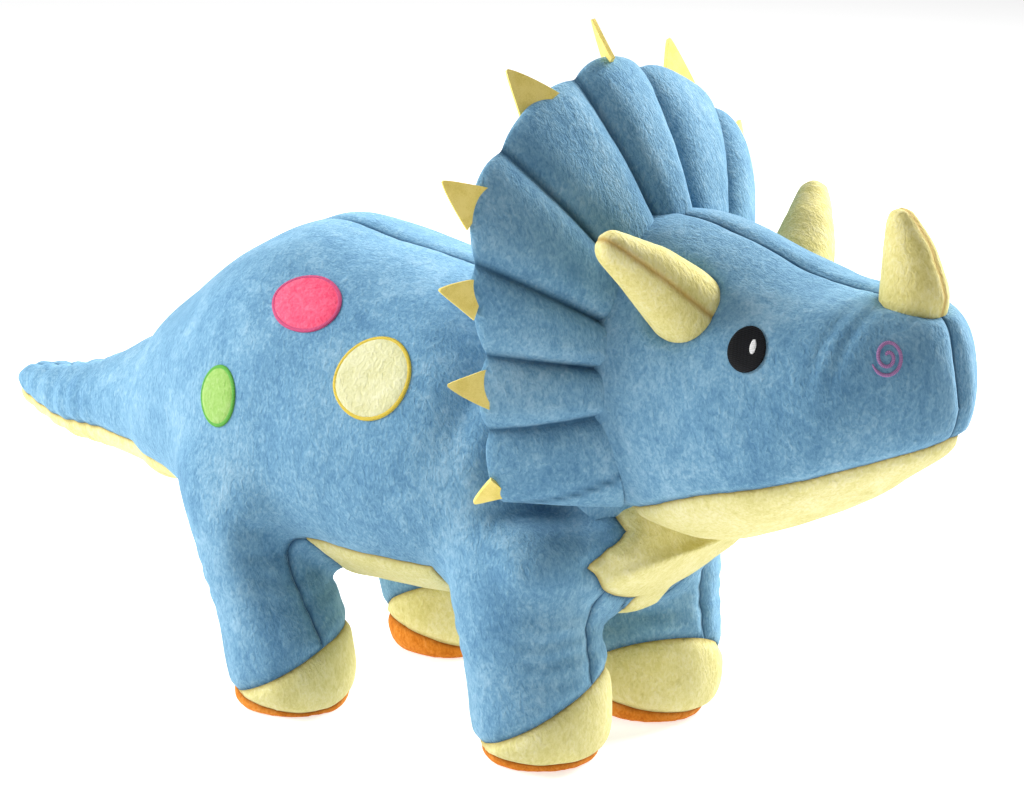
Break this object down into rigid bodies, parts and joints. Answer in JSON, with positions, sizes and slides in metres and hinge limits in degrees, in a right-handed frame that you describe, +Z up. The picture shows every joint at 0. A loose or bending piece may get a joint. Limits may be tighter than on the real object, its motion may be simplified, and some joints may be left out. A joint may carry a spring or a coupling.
{
  "type": "stuffed toy dinosaur",
  "caption": "Four-legged plush horned dinosaur with a quilted neck frill, felt spikes and applique spots; sprung soft neck and tail root.",
  "frame": {"origin": "bottom centre of the bounding box, on the floor under the belly", "axes": "faces -Y, +Z up, X = 0 is the middle seam plane, +X is the toy's left"},
  "size_m": [0.2432, 0.5988, 0.3476],
  "materials": {
    "plush_blue": "short pile plush, soft nap",
    "plush_yellow": "short pile plush, soft nap",
    "plush_orange": "short pile plush",
    "felt_yellow": "pressed felt",
    "fibre_fill": "loose polyester fibre",
    "applique_pink": "short pile plush with satin-stitched edge",
    "applique_cream": "short pile plush with satin-stitched edge",
    "applique_green": "short pile plush with satin-stitched edge",
    "thread_black": "satin embroidery",
    "thread_white": "satin embroidery",
    "thread_mauve": "satin embroidery"
  },
  "bodies": {
    "torso": {"torso_stuffing": "fibre_fill", "body_panel_left": "plush_blue", "body_panel_right": "plush_blue", "belly_panel": "plush_yellow", "front_leg_stuffing_left": "fibre_fill", "front_leg_stuffing_right": "fibre_fill", "rear_leg_stuffing_left": "fibre_fill", "rear_leg_stuffing_right": "fibre_fill", "front_inner_leg_panel_left": "plush_blue", "front_inner_leg_panel_right": "plush_blue", "rear_inner_leg_panel_left": "plush_blue", "rear_inner_leg_panel_right": "plush_blue", "front_toe_cap_left": "plush_yellow", "front_toe_cap_right": "plush_yellow", "rear_toe_cap_left": "plush_yellow", "rear_toe_cap_right": "plush_yellow", "front_sole_left": "plush_orange", "front_sole_right": "plush_orange", "rear_sole_left": "plush_orange", "rear_sole_right": "plush_orange", "pink_spot_left": "applique_pink", "pink_spot_right": "applique_pink", "cream_spot_left": "applique_cream", "cream_spot_right": "applique_cream", "green_spot_left": "applique_green", "green_spot_right": "applique_green"},
    "head": {"head_stuffing": "fibre_fill", "head_panel_left": "plush_blue", "head_panel_right": "plush_blue", "chin_panel": "plush_yellow", "brow_horn_left": "plush_yellow", "brow_horn_right": "plush_yellow", "nose_horn": "plush_yellow", "eye_left": "thread_black", "eye_right": "thread_black", "eye_highlight_left": "thread_white", "eye_highlight_right": "thread_white", "nostril_left": "thread_mauve", "nostril_right": "thread_mauve", "frill_front_panel": "plush_blue", "frill_back_panel": "plush_blue", "frill_batting": "fibre_fill", "frill_spike_1": "felt_yellow", "frill_spike_2": "felt_yellow", "frill_spike_3": "felt_yellow", "frill_spike_4": "felt_yellow", "frill_spike_5": "felt_yellow", "frill_spike_6": "felt_yellow", "frill_spike_7": "felt_yellow", "frill_spike_8": "felt_yellow", "frill_spike_9": "felt_yellow", "frill_spike_10": "felt_yellow", "frill_spike_11": "felt_yellow"},
    "tail": {"tail_stuffing": "fibre_fill", "tail_panel_left": "plush_blue", "tail_panel_right": "plush_blue", "tail_under_panel": "plush_yellow"}
  },
  "joints": [
    {"name": "head_nod", "type": "hinge", "parent": "torso", "child": "head", "pos_m": [0, -0.112, 0.163], "axis": [1, 0, 0], "range_deg": [-6, 6], "stiffness_Nm_per_rad": 7, "springref_deg": -0.97},
    {"name": "tail_sway", "type": "hinge", "parent": "torso", "child": "tail", "pos_m": [0, 0.176, 0.122], "axis": [0, 0, 1], "range_deg": [-20, 20], "stiffness_Nm_per_rad": 0.5}
  ]
}
